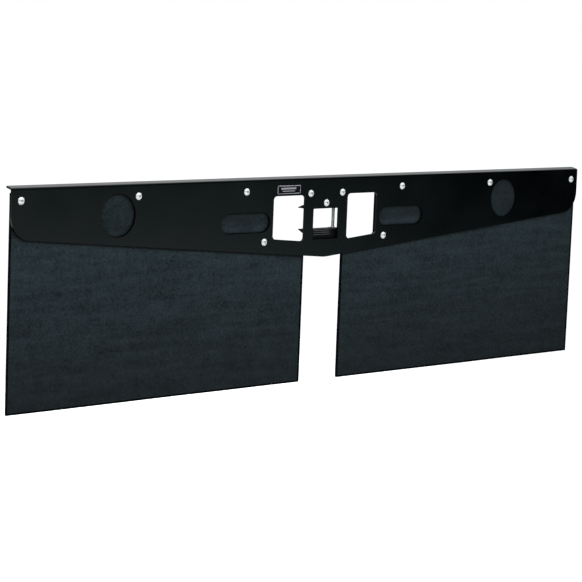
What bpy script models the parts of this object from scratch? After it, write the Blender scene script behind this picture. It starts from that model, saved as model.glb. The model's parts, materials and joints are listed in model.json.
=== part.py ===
"""Full-width tow guard: a mud flap that clamps on a hitch shank behind a towing vehicle.

A folded steel plate carries two rubber flaps and a clamp. Metres, +Z up, +X to the right of
the plate's outer face, +Y from that face towards the vehicle. The origin is the middle of the
clamp's upper seat, the face that rests on the hitch shank.
"""

import math

import bmesh
import bpy
from mathutils import Matrix, Vector

MM = 0.001
INCH = 0.0254

GAP = 0.2 * MM  # left between pieces that touch on the real object
SLIDING_GAP = 0.3 * MM

# Heights below are above the plate's lowest point, and depths are behind its outer face
SEAT_HEIGHT = 128.7 * MM
BOLT_DEPTH = 22.0 * MM
APEX_Z = -SEAT_HEIGHT
FACE_Y = -BOLT_DEPTH

# Folded plate
PLATE_HALF_WIDTH = 40 * INCH
PLATE_T = 4.8 * MM
FLAT_TOP = 205.4 * MM  # where the fold starts
FOLD_RADIUS = 6.4 * MM
FOLD_ANGLE = math.radians(78.0)  # the flange leans 12 degrees up to the rear
FLANGE_RUN = 17.4 * MM  # straight part, after the fold
EDGE_RISE = 90.0 * MM  # how much higher the lower edge is at the plate's ends
PLATE_CORNER_RADIUS = 57.0 * MM
APEX_RADIUS = 150.0 * MM
FASTENER_HOLE_RADIUS = 5.2 * MM

# Openings in the plate
ROUND_LAMP = {"x": 698.0 * MM, "height": 135.0 * MM, "radius": 54.0 * MM}
OVAL_LAMP = {"x": 283.0 * MM, "height": 100.2 * MM, "width": 168.0 * MM, "depth": 53.5 * MM}
OVAL_FLAT = 0.1 * MM  # left straight between the two arcs of an oval's end
CHAIN_INNER_X = 78.0 * MM
CHAIN_OUTER_X = 187.6 * MM
CHAIN_TOP = 166.3 * MM
CHAIN_BOTTOM_INNER = 44.9 * MM
CHAIN_BOTTOM_OUTER = 54.8 * MM
CHAIN_CORNER_RADIUS = 10.0 * MM
SHANK_HALF_WIDTH = 45.3 * MM
SHANK_OPENING_TOP = 129.1 * MM
SHANK_OPENING_BOTTOM = 47.7 * MM
SHANK_CORNER_RADIUS = 2.5 * MM

# Identification plate
LABEL_LEFT = -177.6 * MM
LABEL_RIGHT = -95.0 * MM
LABEL_BOTTOM = 171.0 * MM
LABEL_TOP = 194.5 * MM
LABEL_T = 0.6 * MM
LABEL_CORNER_RADIUS = 1.5 * MM

# Rubber flaps
RUBBER_T = 9.5 * MM
FLAP_OUTER_X = 1012.5 * MM
FLAP_INNER_X = 70.5 * MM
FLAP_TOP = 199.0 * MM
FLAP_BOTTOM = -330.0 * MM
NOTCH_X = 190.0 * MM
NOTCH_DROP = 3.9 * MM  # how far the notch runs below the chain openings
NOTCH_RADIUS = 6.0 * MM
BEND_DROP = 7.0 * MM  # the bend line, below the plate's lower edge
BEND_GAP = 0.45 * MM
FLAP_ROUND = 4.65 * MM  # the free part's top edge is rounded about the bend line

# Fasteners: 3/8 inch, 16 threads to the inch
THREAD_RADIUS = 3 / 16 * INCH
SCREW_HEAD_RADIUS = 9.2 * MM
SCREW_HEAD_HEIGHT = 5.2 * MM
SCREW_HEAD_RIM = 1.0 * MM
SOCKET_WIDTH = 7 / 32 * INCH
SOCKET_DEPTH = 3.2 * MM
FLAP_SCREW_LENGTH = 1.25 * INCH
JAW_SCREW_LENGTH = 1.0 * INCH
WASHER_T = 1.6 * MM
FENDER_WASHER_RADIUS = 0.625 * INCH
JAW_WASHER_RADIUS = 9.5 * MM
CLAMP_WASHER_RADIUS = 10.3 * MM
SEAT_WASHER_RADIUS = 13.5 * MM
NUT_WIDTH = 9 / 16 * INCH
NUT_BORE_RADIUS = 4.95 * MM
LOCK_NUT_HEIGHT = 11.4 * MM
CLAMP_NUT_HEIGHT = 8.5 * MM
BOLT_HEAD_HEIGHT = 6.0 * MM
BOLT_LENGTH = 3.5 * INCH

FLAP_SCREWS = {
    "end": (989.0 * MM, 180.7 * MM),
    "mid": (636.4 * MM, 180.7 * MM),
    "inner": (282.9 * MM, 180.7 * MM),
    "low": (217.1 * MM, 48.6 * MM),
}
JAW_SCREWS = {
    "left": (-57.5 * MM, 170.2 * MM),
    "centre": (0.0, 143.8 * MM),
    "right": (57.5 * MM, 170.2 * MM),
}

# Shank clamp
JAW_T = 4.8 * MM
JAW_HALF_WIDTH = 62.0 * MM
UPPER_REAR_DEPTH = 43.0 * MM
LOWER_REAR_DEPTH = 40.0 * MM
JAW_GAP = 55.5 * MM
UPPER_WEB_HALF_WIDTH = 70.0 * MM
UPPER_WEB_TOP = 190.0 * MM
LOWER_WEB_BOTTOM = 28.0 * MM
WEB_CORNER_RADIUS = 10.0 * MM
WEB_NOTCH_HALF_WIDTH = 46.5 * MM
WEB_NOTCH_BOTTOM = 42.0 * MM
BACKING_BOTTOM = 34.0 * MM
BACKING_T = 3.5 * MM
GUSSET_T = 3.2 * MM
GUSSET_HEIGHT = 15.0 * MM  # below or above the seat's working face, at the web
GUSSET_TIP = 1.9 * MM  # the same at the rear edge, where the seat is thinned to match
CLAMP_BOLT_X = 47.3 * MM
SPOT_FACE_RADIUS = 14.0 * MM
SPOT_FACE_DEPTH = 0.4 * MM

# Bars across the front of the lower jaw: the highest one's top, then the next ones' below it
BAR_HALF_WIDTH = 36.0 * MM
BAR_TOP = 71.6 * MM
BAR_HEIGHT = 2.8 * MM
BAR_PITCH = 5.4 * MM
BAR_COUNT = 3
BAR_STANDOUT = 1.6 * MM

ROUND_STEPS = 16
LAMP_STEPS = 48
DOME_STEPS = 4
EDGE_SLOPE = EDGE_RISE / PLATE_HALF_WIDTH
RUBBER_FRONT = PLATE_T + SLIDING_GAP
RUBBER_BACK = RUBBER_FRONT + RUBBER_T
CUT_MARGIN = 2.0 * MM  # cutters run past both faces by this much
WELD = 0.001 * MM  # points closer than this are one
WELD_OVERLAP = 0.5 * MM  # how far one welded plate reaches into the next

SIDES = {"left": -1, "right": 1}


def clear_scene():
    for obj in list(bpy.data.objects):
        bpy.data.objects.remove(obj, do_unlink=True)


def make_material(name, colour, roughness, metallic):
    mat = bpy.data.materials.new(name)
    mat.use_nodes = True
    shader = mat.node_tree.nodes["Principled BSDF"]
    shader.inputs["Base Color"].default_value = (*colour, 1.0)
    shader.inputs["Roughness"].default_value = roughness
    shader.inputs["Metallic"].default_value = metallic
    return mat


def add_object(name, bm, mat, smooth_angle=30.0):
    bmesh.ops.recalc_face_normals(bm, faces=bm.faces)
    mesh = bpy.data.meshes.new(name)
    bm.to_mesh(mesh)
    bm.free()
    mesh.shade_smooth()
    mesh.set_sharp_from_angle(angle=math.radians(smooth_angle))
    mesh.materials.append(mat)
    return place(name, mesh)


def place(name, mesh, location=(0.0, 0.0, 0.0), rotation=(0.0, 0.0, 0.0)):
    obj = bpy.data.objects.new(name, mesh)
    obj.location = location
    obj.rotation_euler = rotation
    bpy.context.scene.collection.objects.link(obj)
    return obj


def cut(target, cutter, operation="DIFFERENCE"):
    """Boolean with a helper object that stays out of the model."""
    cutter.hide_render = True
    cutter.display_type = "WIRE"
    modifier = target.modifiers.new(operation.lower(), "BOOLEAN")
    modifier.operation = operation
    modifier.solver = "EXACT"
    modifier.object = cutter


def rounded(corners, steps=6):
    """Outline through (x, z, radius) corners, each one turned into an arc of its radius."""
    outline = []
    for i, (x, z, radius) in enumerate(corners):
        here = Vector((x, z))
        if radius == 0.0:
            outline.append(here)
            continue
        to_last = (Vector(corners[i - 1][:2]) - here).normalized()
        to_next = (Vector(corners[(i + 1) % len(corners)][:2]) - here).normalized()
        half = to_last.angle(to_next) / 2
        centre = here + (to_last + to_next).normalized() * (radius / math.sin(half))
        start = here + to_last * (radius / math.tan(half)) - centre
        end = here + to_next * (radius / math.tan(half)) - centre
        turn = start.angle_signed(end)
        for step in range(steps + 1):
            spoke = Matrix.Rotation(-turn * step / steps, 2) @ start
            outline.append(centre + spoke)
    return outline


def circle(x, z, radius, steps):
    angles = [2 * math.pi * step / steps for step in range(steps)]
    return [Vector((x + radius * math.cos(a), z + radius * math.sin(a))) for a in angles]


def add_prism(bm, outline, front, back):
    """Adds an outline of (x, height) points, from one depth to another."""
    verts = [bm.verts.new((x, FACE_Y + front, APEX_Z + z)) for x, z in outline]
    face = bm.faces.new(verts)
    made = bmesh.ops.extrude_face_region(bm, geom=[face])
    moved = [item for item in made["geom"] if isinstance(item, bmesh.types.BMVert)]
    bmesh.ops.translate(bm, verts=moved, vec=(0.0, back - front, 0.0))
    return face


def prism(outline, front, back):
    bm = bmesh.new()
    add_prism(bm, outline, front, back)
    return bm


def mirrored(points):
    """The other side's corners, in reverse so that they still run the same way round."""
    return [(-point[0], *point[1:]) for point in reversed(points)]


def hole_cutter(name, holes, front, back, steps=ROUND_STEPS):
    """One helper object that holds a plug for each (x, height, radius) hole."""
    bm = bmesh.new()
    for x, z, radius in holes:
        add_prism(bm, circle(x, z, radius, steps), front - CUT_MARGIN, back + CUT_MARGIN)
    return add_object(name, bm, bpy.data.materials["cutter"])


# Folded plate ---------------------------------------------------------------------------


def plate_outline():
    return rounded(
        [
            (0.0, 0.0, APEX_RADIUS),
            (PLATE_HALF_WIDTH, EDGE_RISE, PLATE_CORNER_RADIUS),
            (PLATE_HALF_WIDTH, FLAT_TOP, 0.0),
            (-PLATE_HALF_WIDTH, FLAT_TOP, 0.0),
            (-PLATE_HALF_WIDTH, EDGE_RISE, PLATE_CORNER_RADIUS),
        ],
        steps=10,
    )


def fold_top_flange(bm):
    """Turns the plate's top edge back about the fold, then runs the flange straight out."""
    bm.faces.ensure_lookup_table()
    top = max(bm.faces, key=lambda face: face.calc_center_median().z)
    pivot = (0.0, FACE_Y + FOLD_RADIUS, APEX_Z + FLAT_TOP)
    spun = bmesh.ops.spin(
        bm, geom=[top], cent=pivot, axis=(1.0, 0.0, 0.0), dvec=(0.0, 0.0, 0.0),
        angle=-FOLD_ANGLE, steps=6, use_duplicate=False,
    )
    end = [item for item in spun["geom_last"] if isinstance(item, bmesh.types.BMFace)]
    run = bmesh.ops.extrude_face_region(bm, geom=end)
    moved = [item for item in run["geom"] if isinstance(item, bmesh.types.BMVert)]
    run_out = (0.0, FLANGE_RUN * math.sin(FOLD_ANGLE), FLANGE_RUN * math.cos(FOLD_ANGLE))
    bmesh.ops.translate(bm, verts=moved, vec=run_out)
    bmesh.ops.delete(bm, geom=[top, *end], context="FACES_ONLY")


def chain_opening():
    """The right-hand opening for safety chains and wiring."""
    radius = CHAIN_CORNER_RADIUS
    return [
        (CHAIN_INNER_X, CHAIN_BOTTOM_INNER, radius),
        (CHAIN_OUTER_X, CHAIN_BOTTOM_OUTER, radius),
        (CHAIN_OUTER_X, CHAIN_TOP, radius),
        (CHAIN_INNER_X, CHAIN_TOP, radius),
    ]


def shank_opening():
    radius = SHANK_CORNER_RADIUS
    return [
        (-SHANK_HALF_WIDTH, SHANK_OPENING_BOTTOM, radius),
        (SHANK_HALF_WIDTH, SHANK_OPENING_BOTTOM, radius),
        (SHANK_HALF_WIDTH, SHANK_OPENING_TOP, radius),
        (-SHANK_HALF_WIDTH, SHANK_OPENING_TOP, radius),
    ]


def oval_opening(side):
    """A slot with full round ends."""
    x = side * OVAL_LAMP["x"]
    low = OVAL_LAMP["height"] - OVAL_LAMP["depth"] / 2
    high = OVAL_LAMP["height"] + OVAL_LAMP["depth"] / 2
    left = x - OVAL_LAMP["width"] / 2
    right = x + OVAL_LAMP["width"] / 2
    end = (OVAL_LAMP["depth"] - OVAL_FLAT) / 2
    return [(left, low, end), (right, low, end), (right, high, end), (left, high, end)]


def plate_openings():
    bm = bmesh.new()
    front = -CUT_MARGIN
    back = PLATE_T + CUT_MARGIN
    add_prism(bm, rounded(shank_opening(), steps=3), front, back)
    add_prism(bm, rounded(chain_opening()), front, back)
    add_prism(bm, rounded(mirrored(chain_opening())), front, back)
    for side in SIDES.values():
        x = side * ROUND_LAMP["x"]
        disc = circle(x, ROUND_LAMP["height"], ROUND_LAMP["radius"], LAMP_STEPS)
        add_prism(bm, disc, front, back)
        add_prism(bm, rounded(oval_opening(side), steps=8), front, back)
        for screw_x, height in FLAP_SCREWS.values():
            hole = circle(side * screw_x, height, FASTENER_HOLE_RADIUS, ROUND_STEPS)
            add_prism(bm, hole, front, back)
    for screw_x, height in JAW_SCREWS.values():
        hole = circle(screw_x, height, FASTENER_HOLE_RADIUS, ROUND_STEPS)
        add_prism(bm, hole, front, back)
    return add_object("plate_openings", bm, bpy.data.materials["cutter"])


def frame_plate():
    bm = prism(plate_outline(), 0.0, PLATE_T)
    bmesh.ops.recalc_face_normals(bm, faces=bm.faces)
    fold_top_flange(bm)
    plate = add_object("frame_plate", bm, bpy.data.materials["powder_coat"])
    cut(plate, plate_openings())


def label_plate():
    radius = LABEL_CORNER_RADIUS
    outline = rounded(
        [
            (LABEL_LEFT, LABEL_BOTTOM, radius),
            (LABEL_RIGHT, LABEL_BOTTOM, radius),
            (LABEL_RIGHT, LABEL_TOP, radius),
            (LABEL_LEFT, LABEL_TOP, radius),
        ],
        steps=3,
    )
    add_object("label_plate", prism(outline, -GAP - LABEL_T, -GAP), bpy.data.materials["label"])


# Rubber flaps ---------------------------------------------------------------------------


def bend_height(x):
    """Height of the flap's bend line at a distance x from the middle."""
    return EDGE_SLOPE * x - BEND_DROP


def clamped_outline():
    """The right flap's held part: behind the plate, notched round the chain opening."""
    lift = FLAP_ROUND + BEND_GAP
    notch_slope = (CHAIN_BOTTOM_OUTER - CHAIN_BOTTOM_INNER) / (CHAIN_OUTER_X - CHAIN_INNER_X)
    notch_inner = CHAIN_BOTTOM_INNER - NOTCH_DROP
    notch_outer = notch_inner + notch_slope * (NOTCH_X - FLAP_INNER_X)
    return [
        (FLAP_INNER_X, bend_height(FLAP_INNER_X) + lift, 0.0),
        (FLAP_OUTER_X, bend_height(FLAP_OUTER_X) + lift, 0.0),
        (FLAP_OUTER_X, FLAP_TOP, 0.0),
        (NOTCH_X, FLAP_TOP, 0.0),
        (NOTCH_X, notch_outer, NOTCH_RADIUS),
        (FLAP_INNER_X, notch_inner, 0.0),
    ]


def flap_upper(name, side):
    corners = clamped_outline()
    if side < 0:
        corners = mirrored(corners)
    bm = prism(rounded(corners, steps=4), RUBBER_FRONT, RUBBER_BACK)
    sheet = add_object(f"{name}_flap_upper", bm, bpy.data.materials["rubber"])
    holes = [(side * x, z, FASTENER_HOLE_RADIUS) for x, z in FLAP_SCREWS.values()]
    cut(sheet, hole_cutter(f"{name}_flap_holes", holes, RUBBER_FRONT, RUBBER_BACK))


def flap_lower(name, side):
    """The free part, with its top edge rounded about the bend line that it turns on."""
    half = RUBBER_T / 2
    top = [(x, bend_height(x) + half) for x in (FLAP_OUTER_X, FLAP_INNER_X)]
    corners = [(FLAP_INNER_X, FLAP_BOTTOM), (FLAP_OUTER_X, FLAP_BOTTOM), *top]
    bm = prism([(side * x, z) for x, z in corners], RUBBER_FRONT, RUBBER_BACK)
    level = APEX_Z + bend_height(FLAP_INNER_X)
    ridge = [edge for edge in bm.edges if all(vert.co.z > level for vert in edge.verts)]
    ridge = [edge for edge in ridge if edge.verts[0].co.y == edge.verts[1].co.y]
    bmesh.ops.bevel(
        bm, geom=ridge, offset=FLAP_ROUND, offset_type="OFFSET", segments=6, profile=0.5,
        affect="EDGES",
    )
    sheet = add_object(f"{name}_flap_lower", bm, bpy.data.materials["rubber"])
    hinge = bpy.data.objects.new(f"{name}_bend_line", None)
    middle = (FLAP_INNER_X + FLAP_OUTER_X) / 2
    depth = FACE_Y + (RUBBER_FRONT + RUBBER_BACK) / 2
    hinge.location = (side * middle, depth, APEX_Z + bend_height(middle))
    bpy.context.scene.collection.objects.link(hinge)
    sheet.parent = hinge
    sheet.location = -hinge.location


# Fasteners ------------------------------------------------------------------------------


def lathe(profile, steps=ROUND_STEPS):
    """Turns (radius, z) points about Z into a closed solid."""
    bm = bmesh.new()
    verts = [bm.verts.new((radius, 0.0, z)) for radius, z in profile]
    closed = profile[0][0] > 0.0
    pairs = list(zip(verts, verts[1:])) + ([(verts[-1], verts[0])] if closed else [])
    edges = [bm.edges.new(pair) for pair in pairs]
    bmesh.ops.spin(
        bm, geom=verts + edges, cent=(0.0, 0.0, 0.0), axis=(0.0, 0.0, 1.0),
        angle=2 * math.pi, steps=steps, use_merge=True, use_duplicate=False,
    )
    bmesh.ops.remove_doubles(bm, verts=bm.verts, dist=WELD)
    bmesh.ops.recalc_face_normals(bm, faces=bm.faces)
    return bm


def mesh_of(name, bm, mat_name):
    obj = add_object(name, bm, bpy.data.materials[mat_name])
    mesh = obj.data
    bpy.data.objects.remove(obj, do_unlink=True)
    return mesh


def hexagon_prism(width, low, high):
    """A six-sided prism about Z, that many metres across its flats."""
    bm = bmesh.new()
    radius = width / math.sqrt(3)
    corners = [2 * math.pi * (i + 0.5) / 6 for i in range(6)]
    verts = [bm.verts.new((radius * math.cos(a), radius * math.sin(a), low)) for a in corners]
    face = bm.faces.new(verts)
    made = bmesh.ops.extrude_face_region(bm, geom=[face])
    moved = [item for item in made["geom"] if isinstance(item, bmesh.types.BMVert)]
    bmesh.ops.translate(bm, verts=moved, vec=(0.0, 0.0, high - low))
    return bm


def button_profile(length):
    """A domed head over z = 0 and a shank under it."""
    dome_height = SCREW_HEAD_HEIGHT - SCREW_HEAD_RIM
    sphere = (SCREW_HEAD_RADIUS**2 + dome_height**2) / (2 * dome_height)
    reach = math.asin(SCREW_HEAD_RADIUS / sphere)
    dome = []
    for step in range(DOME_STEPS + 1):
        angle = reach * step / DOME_STEPS
        height = SCREW_HEAD_RIM + dome_height - sphere * (1 - math.cos(angle))
        dome.append((sphere * math.sin(angle), height))
    rim = [(SCREW_HEAD_RADIUS, 0.0), (THREAD_RADIUS, 0.0)]
    return [*dome, *rim, (THREAD_RADIUS, -length), (0.0, -length)]


def screw_mesh(name, length):
    return mesh_of(name, lathe(button_profile(length)), "stainless")


def ring_mesh(name, outer, inner, low, high, finish="zinc"):
    profile = [(inner, low), (outer, low), (outer, high), (inner, high)]
    return mesh_of(name, lathe(profile), finish)


def nut_bore():
    """Helper plug that bores each nut, and moves with it."""
    reach = LOCK_NUT_HEIGHT + CUT_MARGIN
    profile = [(0.0, CUT_MARGIN), (NUT_BORE_RADIUS, CUT_MARGIN), (NUT_BORE_RADIUS, -reach), (0.0, -reach)]
    return mesh_of("nut_bore", lathe(profile), "cutter")


def bolt_shank_mesh():
    """Helper shank that is joined to each clamp bolt's head, from inside it to the bolt's end."""
    root = -BOLT_HEAD_HEIGHT / 2
    profile = [(0.0, BOLT_LENGTH), (THREAD_RADIUS, BOLT_LENGTH), (THREAD_RADIUS, root), (0.0, root)]
    return mesh_of("bolt_shank", lathe(profile), "cutter")


BACKWARDS = (math.pi / 2, 0.0, 0.0)  # turns a fastener's +Z to face out of the plate


def add_screw(name, x, height, mesh, socket):
    spot = Vector((x, FACE_Y - GAP, APEX_Z + height))
    screw = place(name, mesh, spot, BACKWARDS)
    cut(screw, place(f"{name}_socket", socket, spot, BACKWARDS))


def add_nut(name, mesh, bore, spot, rotation):
    nut = place(name, mesh, spot, rotation)
    cut(nut, place(f"{name}_bore", bore, spot, rotation))


def fasteners():
    socket_floor = SCREW_HEAD_HEIGHT - SOCKET_DEPTH
    socket = mesh_of(
        "screw_socket",
        hexagon_prism(SOCKET_WIDTH, socket_floor, SCREW_HEAD_HEIGHT + CUT_MARGIN),
        "cutter",
    )
    long_screw = screw_mesh("flap_screw", FLAP_SCREW_LENGTH)
    short_screw = screw_mesh("jaw_screw", JAW_SCREW_LENGTH)
    fender = ring_mesh("fender_washer", FENDER_WASHER_RADIUS, FASTENER_HOLE_RADIUS, -WASHER_T, 0.0)
    small = ring_mesh("jaw_washer", JAW_WASHER_RADIUS, FASTENER_HOLE_RADIUS, -WASHER_T, 0.0)
    nut = mesh_of("lock_nut", hexagon_prism(NUT_WIDTH, -LOCK_NUT_HEIGHT, 0.0), "zinc")
    bore = nut_bore()

    def stack(kind, x, height, screw, washer, back):
        """A screw from the front, and its washer and lock nut behind."""
        add_screw(f"{kind}_screw", x, height, screw, socket)
        washer_y = FACE_Y + back + GAP
        place(f"{kind}_washer", washer, (x, washer_y, APEX_Z + height), BACKWARDS)
        spot = Vector((x, washer_y + WASHER_T + GAP, APEX_Z + height))
        add_nut(f"{kind}_lock_nut", nut, bore, spot, BACKWARDS)

    for name, side in SIDES.items():
        for where, (x, height) in FLAP_SCREWS.items():
            stack(f"{name}_{where}", side * x, height, long_screw, fender, RUBBER_BACK)
    for where, (x, height) in JAW_SCREWS.items():
        stack(f"jaw_{where}", x, height, short_screw, small, RUBBER_FRONT + JAW_T)


# Shank clamp ----------------------------------------------------------------------------


def add_block(bm, x, depth, height):
    """Adds a box from three (low, high) pairs."""
    outline = [(x[0], height[0]), (x[1], height[0]), (x[1], height[1]), (x[0], height[1])]
    add_prism(bm, outline, *depth)


def add_side_prism(bm, outline, left, right):
    """Adds an outline of (depth, height) points, from one x to another."""
    verts = [bm.verts.new((left, FACE_Y + y, APEX_Z + z)) for y, z in outline]
    face = bm.faces.new(verts)
    made = bmesh.ops.extrude_face_region(bm, geom=[face])
    moved = [item for item in made["geom"] if isinstance(item, bmesh.types.BMVert)]
    bmesh.ops.translate(bm, verts=moved, vec=(right - left, 0.0, 0.0))


def helper(name, fill):
    bm = bmesh.new()
    fill(bm)
    return add_object(name, bm, bpy.data.materials["cutter"])


def vertical_plug(name, radius, low, high):
    """Helper plugs for the two clamp bolts, between two heights."""
    bm = bmesh.new()
    for side in SIDES.values():
        plug = lathe([(0.0, low), (radius, low), (radius, high), (0.0, high)])
        mesh = bpy.data.meshes.new(name)
        plug.transform(Matrix.Translation((side * CLAMP_BOLT_X, 0.0, APEX_Z)))
        plug.to_mesh(mesh)
        plug.free()
        bm.from_mesh(mesh)
    return add_object(name, bm, bpy.data.materials["cutter"])


def add_seat_parts(jaw, name, face, rise, front, rear):
    """Welds a jaw's seat and gussets to its web, and drills the seat for the bolts.

    face is the height of the seat's working face, and rise is + when the jaw is above it."""
    web_back = RUBBER_FRONT + JAW_T
    slope = (GUSSET_HEIGHT - GUSSET_TIP) / (rear - web_back)
    thinned = rear - (JAW_T - GUSSET_TIP) / slope
    seat = [
        (front, face), (rear, face), (rear, face + rise * GUSSET_TIP),
        (thinned, face + rise * JAW_T), (front, face + rise * JAW_T),
    ]
    half = JAW_HALF_WIDTH
    cut(jaw, helper(f"{name}_seat", lambda bm: add_side_prism(bm, seat, -half, half)), "UNION")
    root = web_back - JAW_T / 2
    gusset = [
        (root, face + rise * GUSSET_TIP / 2), (rear - GUSSET_TIP, face + rise * GUSSET_TIP / 2),
        (rear - GUSSET_TIP, face + rise * (GUSSET_TIP + slope * GUSSET_TIP)),
        (web_back, face + rise * GUSSET_HEIGHT), (root, face + rise * GUSSET_HEIGHT),
    ]
    for side_name, side in SIDES.items():
        outer = side * half
        inner = side * (half - GUSSET_T)
        plate = helper(
            f"{name}_{side_name}_gusset",
            lambda bm, low=outer, high=inner: add_side_prism(bm, gusset, low, high),
        )
        cut(jaw, plate, "UNION")
    low = min(face, face + rise * JAW_T) - CUT_MARGIN
    high = max(face, face + rise * JAW_T) + CUT_MARGIN
    cut(jaw, vertical_plug(f"{name}_bolt_holes", FASTENER_HOLE_RADIUS, low, high))


def upper_jaw():
    half = UPPER_WEB_HALF_WIDTH
    web = rounded(
        [
            (-half, SEAT_HEIGHT, 0.0),
            (half, SEAT_HEIGHT, 0.0),
            (half, UPPER_WEB_TOP, WEB_CORNER_RADIUS),
            (-half, UPPER_WEB_TOP, WEB_CORNER_RADIUS),
        ],
        steps=4,
    )
    back = RUBBER_FRONT + JAW_T
    bm = prism(web, RUBBER_FRONT, back)
    jaw = add_object("upper_jaw", bm, bpy.data.materials["jaw_coat"])
    add_seat_parts(jaw, "upper_jaw", SEAT_HEIGHT, 1, RUBBER_FRONT + JAW_T / 2, UPPER_REAR_DEPTH)
    holes = [(x, z, FASTENER_HOLE_RADIUS) for x, z in JAW_SCREWS.values()]
    cut(jaw, hole_cutter("upper_jaw_screw_holes", holes, RUBBER_FRONT, back))


def lower_jaw():
    """The moving jaw: a web notched round the shank opening, backed by a plate with three bars."""
    top = SEAT_HEIGHT - JAW_GAP
    half = JAW_HALF_WIDTH
    notch = WEB_NOTCH_HALF_WIDTH
    web_back = RUBBER_FRONT + JAW_T
    web = rounded(
        [
            (-half, LOWER_WEB_BOTTOM, WEB_CORNER_RADIUS),
            (half, LOWER_WEB_BOTTOM, WEB_CORNER_RADIUS),
            (half, top, 0.0),
            (notch, top, 0.0),
            (notch, WEB_NOTCH_BOTTOM, 0.0),
            (-notch, WEB_NOTCH_BOTTOM, 0.0),
            (-notch, top, 0.0),
            (-half, top, 0.0),
        ],
        steps=4,
    )
    jaw = add_object("lower_jaw", prism(web, RUBBER_FRONT, web_back), bpy.data.materials["jaw_coat"])
    face_depth = web_back - WELD_OVERLAP
    inner = half - GUSSET_T
    backing = ((-inner, inner), (face_depth, face_depth + BACKING_T), (BACKING_BOTTOM, top - JAW_T / 2))
    cut(jaw, helper("lower_jaw_backing", lambda bm: add_block(bm, *backing)), "UNION")
    add_seat_parts(jaw, "lower_jaw", top, -1, face_depth, LOWER_REAR_DEPTH)
    for index in range(BAR_COUNT):
        high = BAR_TOP - index * BAR_PITCH
        depth = (face_depth - BAR_STANDOUT, face_depth + WELD_OVERLAP)
        bar = ((-BAR_HALF_WIDTH, BAR_HALF_WIDTH), depth, (high - BAR_HEIGHT, high))
        made = helper(f"lower_jaw_bar_{index}", lambda bm, block=bar: add_block(bm, *block))
        cut(jaw, made, "UNION")
    spots = vertical_plug("lower_jaw_spot_faces", SPOT_FACE_RADIUS, top - SPOT_FACE_DEPTH, top + CUT_MARGIN)
    cut(jaw, spots)


def clamp_bolts():
    """Each bolt is held by the lower jaw, and its nut on the upper jaw draws it up."""
    upper_seat = SEAT_HEIGHT + JAW_T
    spot_face = SEAT_HEIGHT - JAW_GAP - SPOT_FACE_DEPTH
    head_top = SEAT_HEIGHT - JAW_GAP - JAW_T - GAP
    black = ring_mesh("seat_washer", SEAT_WASHER_RADIUS, FASTENER_HOLE_RADIUS, -WASHER_T, 0.0, "black_oxide")
    washer = ring_mesh("clamp_washer", CLAMP_WASHER_RADIUS, FASTENER_HOLE_RADIUS, -WASHER_T, 0.0)
    nut = mesh_of("clamp_nut", hexagon_prism(NUT_WIDTH, -CLAMP_NUT_HEIGHT, 0.0), "zinc")
    head = mesh_of("clamp_bolt", hexagon_prism(NUT_WIDTH, -BOLT_HEAD_HEIGHT, 0.0), "zinc")
    shank = bolt_shank_mesh()
    bore = nut_bore()
    upright = (0.0, 0.0, 0.0)
    for name, side in SIDES.items():
        x = side * CLAMP_BOLT_X

        def at(height):
            return Vector((x, 0.0, APEX_Z + height))

        bolt = place(f"{name}_clamp_bolt", head, at(head_top), upright)
        cut(bolt, place(f"{name}_bolt_shank", shank, at(head_top), upright), "UNION")
        place(f"{name}_seat_washer", black, at(spot_face + GAP + WASHER_T), upright)
        nut_base = upper_seat + GAP + WASHER_T + GAP
        place(f"{name}_clamp_washer", washer, at(upper_seat + GAP + WASHER_T), upright)
        add_nut(f"{name}_clamp_nut", nut, bore, at(nut_base + CLAMP_NUT_HEIGHT), upright)


def make_materials():
    make_material("powder_coat", (0.012, 0.013, 0.014), 0.28, 0.0)
    make_material("jaw_coat", (0.014, 0.015, 0.016), 0.38, 0.0)
    make_material("rubber", (0.018, 0.022, 0.023), 0.78, 0.0)
    make_material("stainless", (0.78, 0.78, 0.77), 0.24, 1.0)
    make_material("zinc", (0.62, 0.63, 0.64), 0.36, 1.0)
    make_material("black_oxide", (0.02, 0.02, 0.022), 0.45, 0.0)
    make_material("label", (0.05, 0.05, 0.055), 0.42, 0.0)
    make_material("cutter", (1.0, 0.2, 0.2), 0.5, 0.0)


def main():
    clear_scene()
    make_materials()
    frame_plate()
    label_plate()
    for name, side in SIDES.items():
        flap_upper(name, side)
        flap_lower(name, side)
    upper_jaw()
    lower_jaw()
    clamp_bolts()
    fasteners()


main()
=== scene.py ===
"""The looks of the hitch-mounted tow guard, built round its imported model. Metres, +Z up."""

import json
import math
import random

import bmesh
import bpy
from mathutils import Matrix, Vector


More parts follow.
